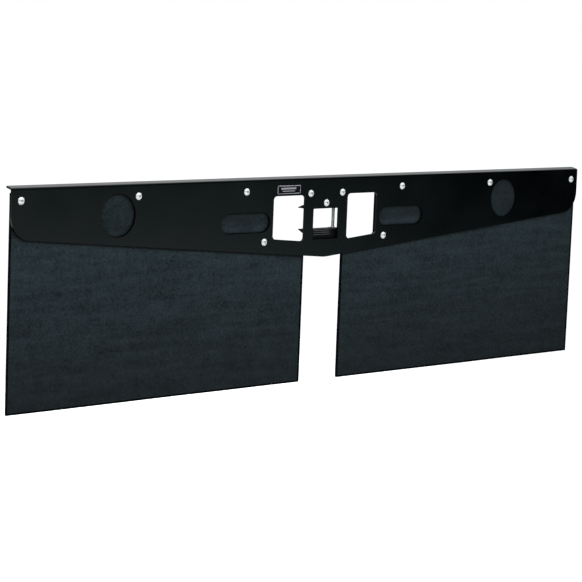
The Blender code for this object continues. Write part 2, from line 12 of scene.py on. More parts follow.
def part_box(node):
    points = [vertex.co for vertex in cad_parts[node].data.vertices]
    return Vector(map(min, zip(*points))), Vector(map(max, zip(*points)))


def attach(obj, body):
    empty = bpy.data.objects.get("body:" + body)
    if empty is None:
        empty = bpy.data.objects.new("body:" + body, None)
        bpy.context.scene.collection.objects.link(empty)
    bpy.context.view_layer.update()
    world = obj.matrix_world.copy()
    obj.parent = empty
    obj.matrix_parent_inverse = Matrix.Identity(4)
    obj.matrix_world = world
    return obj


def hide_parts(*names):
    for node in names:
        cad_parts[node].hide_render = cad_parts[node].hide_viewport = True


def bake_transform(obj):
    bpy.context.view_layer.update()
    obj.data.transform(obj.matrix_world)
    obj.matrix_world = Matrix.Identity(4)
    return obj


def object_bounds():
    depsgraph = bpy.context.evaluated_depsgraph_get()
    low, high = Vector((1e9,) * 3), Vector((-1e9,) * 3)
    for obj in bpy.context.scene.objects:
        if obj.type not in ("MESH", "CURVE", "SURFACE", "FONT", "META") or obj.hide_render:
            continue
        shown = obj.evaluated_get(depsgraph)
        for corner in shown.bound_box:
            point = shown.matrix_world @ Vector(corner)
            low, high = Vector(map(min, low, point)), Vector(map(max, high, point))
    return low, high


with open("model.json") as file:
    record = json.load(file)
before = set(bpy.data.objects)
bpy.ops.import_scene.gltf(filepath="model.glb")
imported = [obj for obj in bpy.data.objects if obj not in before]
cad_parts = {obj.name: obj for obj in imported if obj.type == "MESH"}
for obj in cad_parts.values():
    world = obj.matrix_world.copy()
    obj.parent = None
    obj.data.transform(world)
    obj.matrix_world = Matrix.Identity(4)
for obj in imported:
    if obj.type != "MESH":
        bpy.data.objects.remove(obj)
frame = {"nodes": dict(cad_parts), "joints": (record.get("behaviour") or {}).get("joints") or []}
CAD_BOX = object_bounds()
MM = 0.001
DEGREE = math.radians(1.0)
WHITE = (1.0, 1.0, 1.0, 1.0)

# Camera: yaw to the right of +Y, pitch down and roll, aimed at a point on the plate's outer face
CAMERA_YAW = math.radians(42.957)
CAMERA_PITCH = math.radians(-7.423)
CAMERA_ROLL = math.radians(2.254)
CAMERA_DISTANCE = 5.8823
AIM_RIGHT = -0.1154
AIM_BELOW_PLATE = 0.0849
LENS = 138.98
SENSOR_WIDTH = 36.0
FAR_CLIP = 200.0

# Lights: the strip softbox stands ahead of and above the guard, and the fill behind it.
# Each has a size and a power in watts
STRIP_X = -0.5
STRIP_AHEAD = 1.0
STRIP_ABOVE = 0.80
STRIP_AIM = 0.3  # above the flaps' foot
STRIP_SIZE = (3.2, 0.4)
STRIP_POWER = 44.0
FILL_BEHIND = 1.8
FILL_SIZE = (2.8, 0.3)
FILL_POWER = 26.0

FLOOR_DROP = 0.30  # floor below the flaps
FLOOR_HALF = 40.0
FLOOR_COLOUR = (0.8, 0.8, 0.8, 1.0)
FLOOR_GLOW = 0.62  # added for the camera only

# The room in reflections. Each row is two directions and the brightness at each of them. They
# are in degrees: across is measured to the right of -Y, and up above the horizon
QUIET_ACROSS = (41.5, 48.5, 0.20, 0.0)
QUIET_UP = (-10.5, -4.5, 4.1, 0.5)
ROOM_LEFT = (2.0, 22.0, 1.0, 0.0)
ROOM_RIGHT = (72.0, 100.0, 0.0, 1.0)
ROOM_REAR = (95.0, 125.0, 1.0, 0.03)
ROOM_BACK = (85.0, 118.0, 0.0, 1.0)
BACK_ABOVE = (12.0, 24.0, 0.0, 1.0)
FRONT_ABOVE = (38.0, 66.0, 0.0, 1.0)
ROOM_BELOW = (-50.0, -25.0, 0.6, 0.0)
ROOM_TINT = (0.05, 0.9, 0.0, 1.0)  # two brightnesses, and how white the room is at each
DIM_COLOUR = (0.72, 1.10, 1.18, 1.0)  # where it is not white
ROOM_COLOUR = (0.94, 1.0, 1.03, 1.0)
ROOM_LIGHT = 0.55  # strength on matt surfaces

# Threads and fasteners, 3/8 inch
PITCH = 25.4 / 16 * MM
THREAD_DEPTH = 0.85 * MM
THREAD_RADIUS = 4.76 * MM
THREAD_STEPS = 24
ROWS_PER_TURN = 6
NUT_WIDTH = 14.29 * MM
NUT_FACE_SHARE = 0.475  # the end face's radius as a share of the width across flats
CHAMFER_SLOPE = math.tan(math.radians(30))
HEX_STEPS = 72
BORE_EDGE = 0.3 * MM

# Button-head screws
HEAD_RADIUS = 9.2 * MM
HEAD_HEIGHT = 5.2 * MM
HEAD_RIM = 0.8 * MM
HEAD_EDGE = 0.35 * MM
DOME_SHARES = (0.985, 0.93, 0.85, 0.75, 0.65, 0.55, 0.47, 0.42)
HEAD_STEPS = 48
SOCKET_WIDTH = 5.56 * MM
SOCKET_BEVEL = 0.5 * MM
SOCKET_DEPTH = 3.2 * MM
SOCKET_RIM = 3.2 * MM  # how far from the middle the dome meets the socket
SOCKET_CHAMFER = 0.3 * MM
SOCKET_FLOOR = 0.2 * MM  # how far the floor dips to the drill's point
DRILL_RADIUS = 1.6 * MM
DRILL_DEPTH = 0.7 * MM

# Washers, lock nuts and clamp bolts
WASHER_BORE = 5.2 * MM
WASHER_EDGE = 0.25 * MM
WASHER_STEPS = 64
NUT_BODY_SHARE = 0.72  # the hexagon's share of a lock nut's height
COLLAR_SHARE = 0.44  # the collar's radius as a share of the nut's width
LOCK_BORE = THREAD_RADIUS - 0.1 * MM
CLAMP_BORE = THREAD_RADIUS + 0.12 * MM
BOLT_HEAD = 6.0 * MM
BOLT_PLAIN = 10.0 * MM  # the bolt's shank without a thread

# Rounded arrises
SHARP_ANGLE = math.radians(32.0)
BEVEL_ANGLE = math.radians(28.0)
FLAT_ANGLE = math.radians(0.5)
WELD = 0.005 * MM
PLATE_ROUND = 0.7 * MM
JAW_ROUND = 0.4 * MM
LABEL_ROUND = 0.15 * MM

# Identification plate
LABEL_MARGIN = 0.7 * MM
LABEL_BORDER = 2.3 * MM
BLANK_SINK = 0.2 * MM
BLANK_RISE = 0.05 * MM
# Blank bars, as shares of the plate: middle's height, depth, left and right
BLANKS = ((0.62, 0.20, 0.16, 0.80), (0.34, 0.09, 0.22, 0.74))

# The lower jaw's front bars, whose paler coat is a painted highlight: half their length, and where
# they lie on the jaw
BARS_HALF = 37.0 * MM
BARS_ABOVE = 20.0 * MM
BARS_DEPTH = 4.0 * MM
BARS_PAINTED_SHADE = (0.014, 0.031, 1.0, 0.04)  # two places in x, and the pale coat's painted shade at each
UPWARD = 0.9  # a face whose normal rises more than this looks up or down

# Rubber sheets
CELL = 0.014  # between the slices of the hanging part
FLAP_EDGE = 0.8 * MM
BEND_LENGTH = 0.11
BEND_CELLS = 14
ABOVE_BEND = (-0.045, -0.08, -0.12, -0.17)  # slices of the held part, along the way down
NOTCH_CHAMFER = (6.0 * MM, 6.5 * MM)
SAME_PLACE = 0.1 * MM
FOLD_ANGLE = 0.5  # radians: an edge folded more than this is an arris
EDGE_PROFILE = 0.6
SLICES_PAST_FOOT = 0.06  # the rows slope, so they go on below the foot
FACING = 0.7  # a face whose normal is this far along Y is the sheet's skin
SCREW_HOLE = 4.9 * MM  # radius of the holes the screws pass through
CUTTER_LENGTH = 0.1
CUTTER_STEPS = 24
# The darker margins of each sheet: towards -X, towards +X and at its foot
RIM_NEAR = 1.2 * MM
RIM_FAR = 7.6 * MM
RIM_FOOT = 5.4 * MM
# The hanging part's waves: height, power of its growth and (size, across, up, seed) of each
WAVE_HEIGHT = 0.9 * MM
WAVE_GROWTH = 1.5
WAVE_START = 0.01  # below the hinge
WAVES = ((1.0, 6.1, 0.0, 1.0), (0.6, 13.7, 0.0, 2.1), (0.35, 23.0, 9.0, 1.0))
WAVE_SEED = 1.7

# Patterns of the materials: noise scales per metre, and the depths of bumps
CLOUD = 9.0
ORANGE_PEEL = 420.0
DUST = 1500.0
PEEL_DEPTH = 0.035 * MM
WEAR_CLOUD = 70.0
PEBBLES = 240.0
GRAIN = 430.0
MOTTLE = 120.0
RUBBER_CLOUD = 38.0
STREAKS = 9.0
PEBBLE_DEPTH = 0.4 * MM
SAWN_LINES = 700.0
SAWN_DEPTH = 0.2 * MM
SPANGLE = 45.0
FINE_SPANGLE = 160.0
TURNED_LINES = 1200.0
TURNED_DEPTH = 0.012 * MM
SPECKLE = 900.0
SPECKLE_DEPTH = 0.02 * MM

# Colours and shades of the materials
RUBBER_DARK = (0.0014, 0.0036, 0.0046)
RUBBER_LIGHT = (0.0174, 0.0288, 0.0340)
RUBBER_PAINTED_FALLOFF = (0.48, 1.0)  # painted falloff of light: the shade at the foot, and at the hinge and above
RUBBER_PLATE_SHADE = 0.57  # painted shade on the part held behind the plate
PLATE_SHADE_START = (-2.0 * MM, 9.0 * MM)  # above the hinge: where that painted shade starts and ends
# Painted shade in the rubber's corners against the steel, found by ambient occlusion
CORNER_SHADE_REACH = 12.0 * MM
PAINTED_CORNER_SHADE = (0.62, 0.96, 0.0, 1.0)  # two degrees of openness, and the painted shade at each
HEAD_SHADE_LEAN = 0.14  # the band of painted shade is where faces look this much upwards
HEAD_PAINTED_SHADE = (0.02, 0.32, 0.52, 1.0)  # two distances from that lean, and the painted shade at each

SIDES = {"left": -1, "right": 1}
SCREW_PLACES = ("end", "mid", "inner", "low")
FLAP_STACKS = [f"{side}_{where}" for side in SIDES for where in SCREW_PLACES]
JAW_STACKS = ["jaw_left", "jaw_centre", "jaw_right"]


# Materials ------------------------------------------------------------------------------


class Tree:
    """A node tree, with short calls to add and join nodes."""

    def __init__(self, tree):
        self.tree = tree

    def add(self, kind, **values):
        node = self.tree.nodes.new(kind)
        for key, value in values.items():
            setattr(node, key, value)
        return node

    def join(self, a, b):
        self.tree.links.new(a, b)

    def calculate(self, operation, *values):
        """One step of arithmetic on numbers and sockets."""
        node = self.add("ShaderNodeMath", operation=operation)
        for socket, value in zip(node.inputs, values):
            if isinstance(value, (int, float)):
                socket.default_value = value
            else:
                self.join(value, socket)
        return node.outputs[0]

    def span(self, value, low, high, out_low, out_high, interpolation="LINEAR"):
        node = self.add("ShaderNodeMapRange", interpolation_type=interpolation)
        node.inputs["From Min"].default_value = low
        node.inputs["From Max"].default_value = high
        node.inputs["To Min"].default_value = out_low
        node.inputs["To Max"].default_value = out_high
        self.join(value, node.inputs["Value"])
        return node.outputs["Result"]

    def part_of(self, vector, name):
        """One of a vector's X, Y and Z."""
        node = self.add("ShaderNodeSeparateXYZ")
        self.join(vector, node.inputs[0])
        return node.outputs[name]

    def choose(self, factor, without, with_it):
        """One shader where the factor is 0, and another one where it is 1."""
        node = self.add("ShaderNodeMixShader")
        self.join(factor, node.inputs["Fac"])
        self.join(without, node.inputs[1])
        self.join(with_it, node.inputs[2])
        return node.outputs[0]


class Nodes(Tree):
    """The node tree of a new material."""

    def __init__(self, name):
        self.material = bpy.data.materials.new(name)
        self.material.use_nodes = True
        super().__init__(self.material.node_tree)
        self.shader = self.tree.nodes["Principled BSDF"]
        self.place = self.add("ShaderNodeTexCoord").outputs["Object"]

    def noise(self, scale, detail=3.0, rough=0.5, stretch=None):
        node = self.add("ShaderNodeTexNoise")
        node.inputs["Scale"].default_value = scale
        node.inputs["Detail"].default_value = detail
        node.inputs["Roughness"].default_value = rough
        source = self.place
        if stretch:
            mapping = self.add("ShaderNodeMapping")
            mapping.inputs["Scale"].default_value = stretch
            self.join(source, mapping.inputs["Vector"])
            source = mapping.outputs["Vector"]
        self.join(source, node.inputs["Vector"])
        return node.outputs["Fac"]

    def cells(self, scale):
        node = self.add("ShaderNodeTexVoronoi")
        node.inputs["Scale"].default_value = scale
        self.join(self.place, node.inputs["Vector"])
        return node.outputs["Distance"]

    def combine(self, a, b, scale=1.0):
        """The first value plus the second one times a scale."""
        return self.calculate("MULTIPLY_ADD", b, scale, a)

    def away_from(self, value, middle):
        """How far a value is from another one, whichever side it is on."""
        return self.calculate("ABSOLUTE", self.calculate("SUBTRACT", value, middle))

    def scaled(self, colour, factor):
        """The colour times a factor."""
        node = self.add("ShaderNodeVectorMath", operation="SCALE")
        self.join(colour, node.inputs[0])
        self.join(factor, node.inputs["Scale"])
        return node.outputs["Vector"]

    def blend(self, factor, first, second):
        node = self.add("ShaderNodeMix", data_type="RGBA")
        node.inputs["A"].default_value = (*first, 1.0)
        node.inputs["B"].default_value = (*second, 1.0)
        self.join(factor, node.inputs["Factor"])
        return node.outputs["Result"]

    def bump(self, height, depth, strength):
        node = self.add("ShaderNodeBump")
        node.inputs["Distance"].default_value = depth
        node.inputs["Strength"].default_value = strength
        self.join(height, node.inputs["Height"])
        self.join(node.outputs["Normal"], self.shader.inputs["Normal"])

    def set(self, **values):
        for key, value in values.items():
            self.shader.inputs[key.replace("_", " ")].default_value = value

    def drive(self, **sockets):
        for key, source in sockets.items():
            self.join(source, self.shader.inputs[key.replace("_", " ")])


def powder_coat(name, dark, light, roughness, gloss=0.5):
    """Semi-gloss black powder coat: orange peel, a slow cloud in its gloss, and fine dust."""
    n = Nodes(name)
    cloud = n.noise(CLOUD, 4.0)
    peel = n.noise(ORANGE_PEEL, 2.0)
    dust = n.noise(DUST, 2.0)
    n.drive(Base_Color=n.blend(n.span(cloud, 0.3, 0.7, 0.0, 1.0), dark, light))
    n.drive(Roughness=n.span(cloud, 0.3, 0.7, roughness - 0.025, roughness + 0.035))
    n.bump(n.combine(peel, dust, scale=0.25), PEEL_DEPTH, 0.6)
    n.set(Specular_IOR_Level=gloss)
    return n.material


def painted_light_bars(name):
    """The lower jaw's front bars: a paler coat as a painted highlight, darkening with painted shade
    towards the clamp bolt.
    """
    n = Nodes(name)
    cloud = n.noise(WEAR_CLOUD, 4.0)
    peel = n.noise(ORANGE_PEEL, 2.0)
    # Painted highlight: the bars' coat is paler than the jaw's
    dark = (0.021, 0.022, 0.023)
    light = (0.034, 0.035, 0.036)
    coat = n.blend(n.span(cloud, 0.3, 0.7, 0.0, 1.0), dark, light)
    # Painted shade: the pale coat darkens to near black towards the clamp bolt
    painted_bolt_shade = n.span(n.part_of(n.place, "X"), *BARS_PAINTED_SHADE)
    n.drive(Base_Color=n.scaled(coat, painted_bolt_shade))
    n.bump(peel, PEEL_DEPTH, 0.6)
    n.set(Roughness=0.42, Specular_IOR_Level=0.18)
    return n.material


def rubber_sheet(name):
    """Pressed crumb rubber: a pebbled, mottled skin with long faint streaks.

    It has painted shade in the corners against the steel and behind the plate, and a painted
    falloff of light that darkens it a little from its hinge to its foot."""
    n = Nodes(name)
    pebbles = n.cells(PEBBLES)
    grain = n.noise(GRAIN, 3.0, 0.6)
    mottle = n.noise(MOTTLE, 3.0, 0.7)
    clouds = n.noise(RUBBER_CLOUD, 3.0, 0.6)
    streaks = n.noise(STREAKS, 4.0, 0.6, stretch=(0.5, 1.0, 6.0))
    shade = n.span(mottle, 0.32, 0.68, 0.0, 0.5)
    shade = n.combine(shade, n.span(clouds, 0.32, 0.68, 0.0, 0.25))
    shade = n.combine(shade, n.span(streaks, 0.35, 0.65, 0.0, 0.25))
    skin = n.blend(shade, RUBBER_DARK, RUBBER_LIGHT)
    foot, hinge = (corner.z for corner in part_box("left_flap_lower"))
    height = n.part_of(n.place, "Z")
    # Painted shade: the light's falloff, darker from the hinge down to the foot
    fade = n.span(height, foot, hinge, *RUBBER_PAINTED_FALLOFF)
    # Painted shade in the corners, from ambient occlusion against the steel
    near = n.add("ShaderNodeAmbientOcclusion", samples=8)
    near.inputs["Distance"].default_value = CORNER_SHADE_REACH
    corner_shade = n.span(near.outputs["AO"], *PAINTED_CORNER_SHADE)
    # Painted shade on the rubber held behind the plate
    start, end = (hinge + step for step in PLATE_SHADE_START)
    plate_shade = n.span(height, start, end, 1.0, RUBBER_PLATE_SHADE)
    n.drive(Base_Color=n.scaled(n.scaled(n.scaled(skin, fade), corner_shade), plate_shade))
    n.drive(Roughness=n.span(grain, 0.3, 0.7, 0.66, 0.84))
    n.bump(n.combine(grain, pebbles, scale=0.8), PEBBLE_DEPTH, 0.8)
    n.set(Specular_IOR_Level=0.22)
    return n.material


def cut_rubber(name):
    """The sawn edge of the same sheet, darker, with fine lines across it."""
    n = Nodes(name)
    lines = n.noise(SAWN_LINES, 2.0, 0.5, stretch=(1.0, 0.25, 1.0))
    n.drive(Base_Color=n.blend(lines, (0.0002, 0.0006, 0.0009), (0.0012, 0.0020, 0.0027)))
    n.bump(lines, SAWN_DEPTH, 0.6)
    n.set(Roughness=0.8, Specular_IOR_Level=0.04)
    return n.material


def metal(name, dark, light, roughness, spangle=SPANGLE, metallic=1.0):
    """Plated or plain steel: a faint mottle, turned lines and small changes in gloss."""
    n = Nodes(name)
    mottle = n.noise(spangle, 4.0, 0.6)
    lines = n.noise(TURNED_LINES, 2.0)
    n.drive(Base_Color=n.blend(n.span(mottle, 0.35, 0.65, 0.0, 1.0), dark, light))
    n.drive(Roughness=n.span(mottle, 0.3, 0.7, roughness - 0.05, roughness + 0.07))
    n.bump(lines, TURNED_DEPTH, 0.5)
    n.set(Metallic=metallic)
    return n.material


def polished_head(name):
    """Polished stainless heads: bright above and below, with a band of painted shade where they
    face outwards.
    """
    n = Nodes(name)
    mottle = n.noise(SPANGLE, 4.0, 0.6)
    lines = n.noise(TURNED_LINES, 2.0)
    dark = (0.60, 0.61, 0.62)
    light = (0.69, 0.70, 0.71)
    steel = n.blend(n.span(mottle, 0.35, 0.65, 0.0, 1.0), dark, light)
    # Painted shade: the colour darkens with the way each face turns
    facing = n.add("ShaderNodeNewGeometry").outputs["Normal"]
    from_shade_band = n.away_from(n.part_of(facing, "Z"), HEAD_SHADE_LEAN)
    n.drive(Base_Color=n.scaled(steel, n.span(from_shade_band, *HEAD_PAINTED_SHADE)))
    n.drive(Roughness=n.span(mottle, 0.3, 0.7, 0.31, 0.43))
    n.bump(lines, TURNED_DEPTH, 0.5)
    n.set(Metallic=0.22)
    return n.material


def plastic(name, colour, roughness, gloss=0.5):
    n = Nodes(name)
    speckle = n.noise(SPECKLE, 2.0)
    darker = tuple(0.8 * c for c in colour)
    n.drive(Base_Color=n.blend(n.span(speckle, 0.3, 0.7, 0.0, 1.0), darker, colour))
    n.bump(speckle, SPECKLE_DEPTH, 0.4)
    n.set(Roughness=roughness, Specular_IOR_Level=gloss)
    return n.material


PLATE_COAT = powder_coat("plate_coat", (0.0001, 0.0003, 0.0004), (0.0003, 0.0006, 0.0007), 0.16)
JAW_COAT = powder_coat(
    "jaw_powder_coat", (0.0006, 0.0007, 0.0008), (0.0014, 0.0015, 0.0016), 0.44, gloss=0.18
)
# The lower jaw's front bars, with a painted highlight and painted shade
BAR_COAT_PAINTED_LIGHT = painted_light_bars("bar_coat_painted_light")
RUBBER = rubber_sheet("rubber_skin")
RUBBER_EDGE = cut_rubber("rubber_cut_edge")
STAINLESS = polished_head("stainless_steel")
# Painted shade in the screw heads' hexagon sockets: a darker steel for the recess
SOCKET_PAINTED_SHADE = metal(
    "socket_painted_shade", (0.34, 0.34, 0.345), (0.44, 0.44, 0.445), 0.42, metallic=0.3
)
ZINC = metal("zinc_plate", (0.50, 0.52, 0.54), (0.68, 0.69, 0.68), 0.36, spangle=FINE_SPANGLE)
BLACK_OXIDE = powder_coat("black_oxide_finish", (0.004, 0.004, 0.005), (0.008, 0.008, 0.009), 0.42)
NYLON = plastic("nylon_insert", (0.62, 0.64, 0.60), 0.42)
LABEL_BLACK = plastic("label_black", (0.002, 0.002, 0.003), 0.45, gloss=0.15)
LABEL_GREY = plastic("label_grey", (0.19, 0.19, 0.21), 0.45)


# Mesh helpers ---------------------------------------------------------------------------


def in_scene(name, bm):
    """A new object of the mesh, which is used up."""
    mesh = bpy.data.meshes.new(name)
    bm.to_mesh(mesh)
    bm.free()
    made = bpy.data.objects.new(name, mesh)
    bpy.context.scene.collection.objects.link(made)
    return made


def add_piece(name, bm, materials, body, replaced):
    """Makes a mesh a piece that rides on a body and stands for the CAD nodes it replaces.

    A piece with no body of its own is left without one."""
    piece = in_scene(name, bm)
    for material in materials:
        piece.data.materials.append(material)
    piece.data.shade_smooth()
    piece.data.set_sharp_from_angle(angle=SHARP_ANGLE)
    flat = piece.modifiers.new("flat_faces", "WEIGHTED_NORMAL")
    flat.keep_sharp = True
    if body:
        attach(piece, body)
    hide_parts(*replaced)
    return piece


def turned(rows, steps, material_of=None):
    """A solid about Z from rows of (radius, height), each a pair or a function of the angle.

    A row of radius 0 is a point. The rows run from one end of the solid to the other, or back
    to the first one when they make a ring."""
    bm = bmesh.new()
    loops = []
    for row in rows:
        pairs = []
        for step in range(steps):
            angle = 2 * math.pi * step / steps
            radius, height = row(angle) if callable(row) else row
            pairs.append((radius * math.cos(angle), radius * math.sin(angle), height))
        if not callable(row) and row[0] == 0.0:
            pairs = pairs[:1]
        loops.append([bm.verts.new(pair) for pair in pairs])
    if len(loops[0]) > 1:
        loops.append(loops[0])
    for index, (low, high) in enumerate(zip(loops, loops[1:])):
        for step in range(steps):
            following = (step + 1) % steps
            if len(low) == 1:
                corners = (low[0], high[following], high[step])
            elif len(high) == 1:
                corners = (low[step], low[following], high[0])
            else:
                corners = (low[step], low[following], high[following], high[step])
            face = bm.faces.new(corners)
            if material_of:
                face.material_index = material_of(index)
    bmesh.ops.recalc_face_normals(bm, faces=bm.faces)
    return bm


def hexagon(angle, width):
    """Radius of a hexagon at an angle, that many metres across its flats."""
    sector = (angle % (math.pi / 3)) - math.pi / 6
    return width / 2 / math.cos(sector)


def joined(*meshes):
    whole = bmesh.new()
    for bm in meshes:
        mesh = bpy.data.meshes.new("part")
        bm.to_mesh(mesh)
        bm.free()
        whole.from_mesh(mesh)
        bpy.data.meshes.remove(mesh)
    return whole


def thread(length):
    """A threaded rod from z = 0 to its length. The thread fades out at the far end."""
    count = max(2, round(length / PITCH * ROWS_PER_TURN))

    def wave(height):
        def row(angle):
            phase = (height / PITCH - angle / (2 * math.pi)) % 1.0
            ridge = 1 - abs(2 * phase - 1)
            fade = min(1.0, max(0.0, (length - height) / PITCH))
            crest = THREAD_RADIUS - THREAD_DEPTH * (1 - ridge)
            return min(crest, THREAD_RADIUS - THREAD_DEPTH * (1 - fade)), height
        return row

    rows = [(0.0, 0.0)]
    for index in range(count + 1):
        rows.append(wave(length * index / count))
    rows.append((0.0, length))
    return turned(rows, THREAD_STEPS)


def chamfered_hex(height, width, bore=0.0):
    """Rows for a hexagon from z = 0 up, its corners turned off at 30 degrees."""
    face_radius = NUT_FACE_SHARE * width

    def corner(top):
        def row(angle):
            radius = hexagon(angle, width)
            drop = (radius - face_radius) * CHAMFER_SLOPE
            return radius, (height - drop if top else drop)
        return row

    rows = [(face_radius, 0.0), corner(False), corner(True), (face_radius, height)]
    if not bore:
        return [(0.0, 0.0), *rows, (0.0, height)]
    wide = bore + BORE_EDGE
    return [(bore, BORE_EDGE), (wide, 0.0), *rows, (wide, height), (bore, height - BORE_EDGE)]


def button_screw(length):
    """Domed head over z = 0 with a hexagon socket, and a threaded shank below it."""
    dome = HEAD_HEIGHT - HEAD_RIM - HEAD_EDGE
    sphere = (HEAD_RADIUS**2 + dome**2) / (2 * dome)
    floor = HEAD_HEIGHT - SOCKET_DEPTH

    def on_dome(radius):
        return HEAD_RIM + HEAD_EDGE + dome - sphere + math.sqrt(sphere**2 - radius**2)

    mouth = on_dome(SOCKET_RIM)
    rows = [(0.0, -MM), (THREAD_RADIUS, -MM), (THREAD_RADIUS, 0.0)]
    rows += [(HEAD_RADIUS - HEAD_EDGE, 0.0), (HEAD_RADIUS, HEAD_EDGE), (HEAD_RADIUS, HEAD_RIM)]
    for share in DOME_SHARES:
        rows.append((HEAD_RADIUS * share, on_dome(HEAD_RADIUS * share)))
    rows.append(lambda angle: (hexagon(angle, SOCKET_WIDTH + SOCKET_BEVEL), mouth))
    rows.append(lambda angle: (hexagon(angle, SOCKET_WIDTH), mouth - SOCKET_CHAMFER))
    rows.append(lambda angle: (hexagon(angle, SOCKET_WIDTH), floor))
    rows += [(DRILL_RADIUS, floor - SOCKET_FLOOR), (0.0, floor - SOCKET_FLOOR - DRILL_DEPTH)]
    # The socket's faces take the second material, its painted shade
    socket = len(rows) - 4
    head = turned(rows, HEAD_STEPS, lambda index: 1 if index >= socket else 0)
    shank = thread(length)
    shank.transform(Matrix.Rotation(math.pi, 4, "X"))
    return joined(head, shank)


def washer(outer, thickness):
    """A flat ring from z = 0 up, its punched edges rounded a little."""
    inner = WASHER_BORE
    r = WASHER_EDGE
    rows = [(inner, r), (inner + r, 0.0), (outer - r, 0.0), (outer, r)]
    rows += [(outer, thickness - r), (outer - r, thickness)]
    rows += [(inner + r, thickness), (inner, thickness - r)]
    return turned(rows, WASHER_STEPS)


def lock_nut(height):
    """A chamfered nut with a collar that holds a nylon ring."""
    body = height * NUT_BODY_SHARE
    collar = COLLAR_SHARE * NUT_WIDTH
    rows = chamfered_hex(body, NUT_WIDTH, LOCK_BORE)[:-2]
    # The collar: a fillet at its foot, a rolled lip, and the nylon inside the lip
    rows += [(collar + 0.3 * MM, body), (collar, body + 0.4 * MM)]
    rows += [(collar, height - 0.7 * MM), (collar - 0.6 * MM, height)]
    rows += [(collar - 1.2 * MM, height - 0.1 * MM)]
    rows += [(LOCK_BORE + 0.3 * MM, height - 0.35 * MM), (LOCK_BORE, height - 0.8 * MM)]
    nylon_rows = {len(rows) - 3, len(rows) - 2}
    return turned(rows, HEX_STEPS, lambda index: 1 if index in nylon_rows else 0)


def from_cad(node, bevel):
    """The CAD node's shape with its arrises rounded, as a mesh of its own."""
    bm = bmesh.new()
    bm.from_mesh(frame["nodes"][node].data)
    bmesh.ops.remove_doubles(bm, verts=bm.verts, dist=WELD)
    bmesh.ops.dissolve_limit(
        bm, angle_limit=FLAT_ANGLE, verts=bm.verts, edges=bm.edges, delimit={"NORMAL"}
    )
    holder = in_scene("shape", bm)
    modifier = holder.modifiers.new("round", "BEVEL")
    modifier.width = bevel
    modifier.segments = 2
    modifier.limit_method = "ANGLE"
    modifier.angle_limit = BEVEL_ANGLE
    modifier.use_clamp_overlap = True
    made = bmesh.new()
    made.from_object(holder, bpy.context.evaluated_depsgraph_get())
    bpy.data.objects.remove(holder, do_unlink=True)
    return made


def centre(node):
    low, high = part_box(node)
    return (low + high) / 2


# Plate and label ------------------------------------------------------------------------


def frame_plate():
    shape = from_cad("frame_plate", PLATE_ROUND)
    add_piece(
        "coated_frame_plate", shape, [PLATE_COAT], "frame", ["frame_plate"]
    )


def raised_panel(bm, low, high, front, back):
    """Adds a thin box between two (x, z) corners, in the second material."""
    made = bmesh.ops.create_cube(bm, size=1.0)["verts"]
    size = (high[0] - low[0], back - front, high[1] - low[1])
    spot = ((low[0] + high[0]) / 2, (front + back) / 2, (low[1] + high[1]) / 2)
    bmesh.ops.scale(bm, verts=made, vec=size)
    bmesh.ops.translate(bm, verts=made, vec=spot)
    for face in {face for vert in made for face in vert.link_faces}:
        face.material_index = 1


def label_plate():
    """A plain identification plate: a light border and two blank bars, with no lettering."""
    low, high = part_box("label_plate")
    bm = from_cad("label_plate", LABEL_ROUND)
    face = min(bm.faces, key=lambda f: f.calc_center_median().y)
    bmesh.ops.inset_individual(bm, faces=[face], thickness=LABEL_MARGIN)
    border = bmesh.ops.inset_individual(bm, faces=[face], thickness=LABEL_BORDER)["faces"]
    for made in border:
        made.material_index = 1
    width = high.x - low.x
    height = high.z - low.z
    for share, tall, left, right in BLANKS:
        middle = low.z + share * height
        raised_panel(
            bm,
            (low.x + left * width, middle - tall * height / 2),
            (low.x + right * width, middle + tall * height / 2),
            low.y - BLANK_RISE, low.y + BLANK_SINK,
        )
    add_piece("label", bm, [LABEL_BLACK, LABEL_GREY], "frame", ["label_plate"])


# Rubber flaps ---------------------------------------------------------------------------


def flap_joint(name):
    return next(j for j in frame["joints"] if j["name"] == f"{name}_flap_bend")


def flap_outline(name, side):
    """The whole sheet's corners as (x, z): the held part's notch and the free part's foot."""
    up_low, up_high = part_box(f"{name}_flap_upper")
    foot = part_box(f"{name}_flap_lower")[0].z
    inner = min(abs(up_low.x), abs(up_high.x))
    outer = max(abs(up_low.x), abs(up_high.x))
    top = up_high.z
    spots = [v.co for v in frame["nodes"][f"{name}_flap_upper"].data.vertices]
    notch_x = min(abs(spot.x) for spot in spots if spot.z > top - MM)
    inner_top = max(spot.z for spot in spots if abs(spot.x) < inner + MM)
    on_notch = [spot.z for spot in spots if abs(abs(spot.x) - notch_x) < SAME_PLACE]
    notch_low = min(z for z in on_notch if z > inner_top)
    across, down = NOTCH_CHAMFER
    corners = [
        (inner, foot), (outer, foot), (outer, top), (notch_x, top), (notch_x, notch_low),
        (notch_x - across, notch_low - down), (inner, inner_top),
    ]
    return [(side * x, z) for x, z in corners]


def droop(x, z, hinge_z, foot_z, seed):
    """How far the hanging rubber stands off its plane: soft waves that grow towards its foot."""
    depth = max(0.0, (hinge_z - WAVE_START - z) / (hinge_z - foot_z))
    wave = sum(size * math.sin(a * x + b * z + c * seed) for size, a, b, c in WAVES)
    return WAVE_HEIGHT * wave * depth**WAVE_GROWTH


